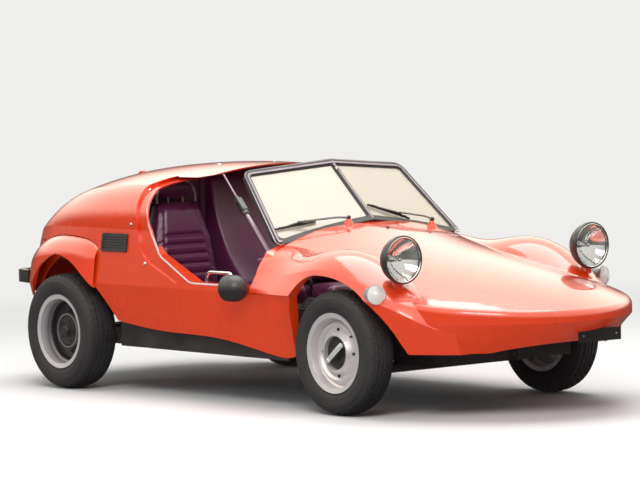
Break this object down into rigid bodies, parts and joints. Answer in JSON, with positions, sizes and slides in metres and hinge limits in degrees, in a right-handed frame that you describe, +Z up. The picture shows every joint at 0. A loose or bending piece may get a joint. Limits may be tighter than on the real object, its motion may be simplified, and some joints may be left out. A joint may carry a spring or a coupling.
{
  "type": "beach car",
  "caption": "Doorless two-seat beach car: wedge nose with humped fenders and stalked headlamps, split windscreen, fastback canopy with a rear engine lid.",
  "frame": {"origin": "on the ground under the middle of the car's bounding box", "axes": "+X to the car's left, +Y towards its tail, +Z up; the nose points along -Y"},
  "size_m": [1.732, 3.57, 1.1234],
  "materials": {
    "body_orange": "high gloss vermilion orange gelcoat on moulded laminate",
    "frame_rubber": "matt black rubber section",
    "clear_glass": "clear laminated glass",
    "bright_metal": "polished",
    "lamp_glass": "clear fluted lamp glass",
    "white_lens": "white moulded lens on a grey base",
    "red_lens": "red moulded lens",
    "black_plastic": "grained black plastic",
    "black_steel": "satin black paint on steel",
    "plate_black": "blank black plate",
    "vinyl": "dark aubergine padded vinyl",
    "silver_paint": "silver wheel paint on steel",
    "tyre_rubber": "black tyre rubber",
    "cast_metal": "rough cast alloy",
    "engine_metal": "dark cast metal",
    "steel": "plain steel"
  },
  "bodies": {
    "car": {"front_body": "body_orange", "side_panel_left": "body_orange", "side_panel_right": "body_orange", "canopy": "body_orange", "rear_body": "body_orange", "windscreen_frame": "frame_rubber", "windscreen_glass": "clear_glass", "roof_stays": "bright_metal", "headlamps": "black_plastic", "headlamp_lenses": "lamp_glass", "turn_signals": "white_lens", "mirrors": "black_plastic", "side_vents": "black_plastic", "rear_bumper": "black_steel", "tail_lamps": "red_lens", "number_plates": "plate_black", "floor_pan": "black_steel", "chassis_rails": "black_steel", "bulkhead": "vinyl", "dashboard": "vinyl", "seat_left": "vinyl", "seat_right": "vinyl", "steering_column": "black_steel", "gear_lever": "black_plastic", "grab_hoops": "bright_metal", "front_axle_beam": "black_steel", "rear_axle": "cast_metal", "engine_block": "engine_metal", "exhaust": "steel"},
    "engine_lid": {"engine_lid": "body_orange"},
    "knuckle_left": {"knuckle_left": "steel"},
    "knuckle_right": {"knuckle_right": "steel"},
    "steering_wheel": {"steering_wheel": "black_plastic"},
    "wheel_front_left": {"rim_front_left": "silver_paint", "drum_front_left": "black_steel", "tyre_front_left": "tyre_rubber"},
    "wheel_front_right": {"rim_front_right": "silver_paint", "drum_front_right": "black_steel", "tyre_front_right": "tyre_rubber"},
    "wheel_rear_left": {"rim_rear_left": "silver_paint", "drum_rear_left": "black_steel", "tyre_rear_left": "tyre_rubber"},
    "wheel_rear_right": {"rim_rear_right": "silver_paint", "drum_rear_right": "black_steel", "tyre_rear_right": "tyre_rubber"}
  },
  "joints": [
    {"name": "steer_left", "type": "hinge", "parent": "car", "child": "knuckle_left", "pos_m": [0.545, -0.835, 0.285], "axis": [0, 0, 1], "range_deg": [-28, 28]},
    {"name": "steer_right", "type": "hinge", "parent": "car", "child": "knuckle_right", "pos_m": [-0.545, -0.835, 0.285], "axis": [0, 0, 1], "range_deg": [-28, 28]},
    {"name": "steering_wheel_turn", "type": "hinge", "parent": "car", "child": "steering_wheel", "pos_m": [0.33, 0.095, 0.7], "axis": [0, 0.9135, 0.4067], "range_deg": [-392, 392]},
    {"name": "spin_front_left", "type": "hinge", "parent": "knuckle_left", "child": "wheel_front_left", "pos_m": [0.637, -0.835, 0.285], "axis": [1, 0, 0], "continuous": true},
    {"name": "spin_rear_left", "type": "hinge", "parent": "car", "child": "wheel_rear_left", "pos_m": [0.7, 1.192, 0.285], "axis": [1, 0, 0], "continuous": true},
    {"name": "spin_front_right", "type": "hinge", "parent": "knuckle_right", "child": "wheel_front_right", "pos_m": [-0.637, -0.835, 0.285], "axis": [1, 0, 0], "continuous": true},
    {"name": "spin_rear_right", "type": "hinge", "parent": "car", "child": "wheel_rear_right", "pos_m": [-0.7, 1.192, 0.285], "axis": [1, 0, 0], "continuous": true},
    {"name": "engine_lid_hinge", "type": "hinge", "parent": "car", "child": "engine_lid", "pos_m": [0, 1.237, 1.048], "axis": [1, 0, 0], "range_deg": [0, 60]}
  ],
  "couplings": [
    {"joint": "steer_right", "follows": "steer_left", "ratio": 1},
    {"joint": "steering_wheel_turn", "follows": "steer_left", "ratio": 14}
  ]
}
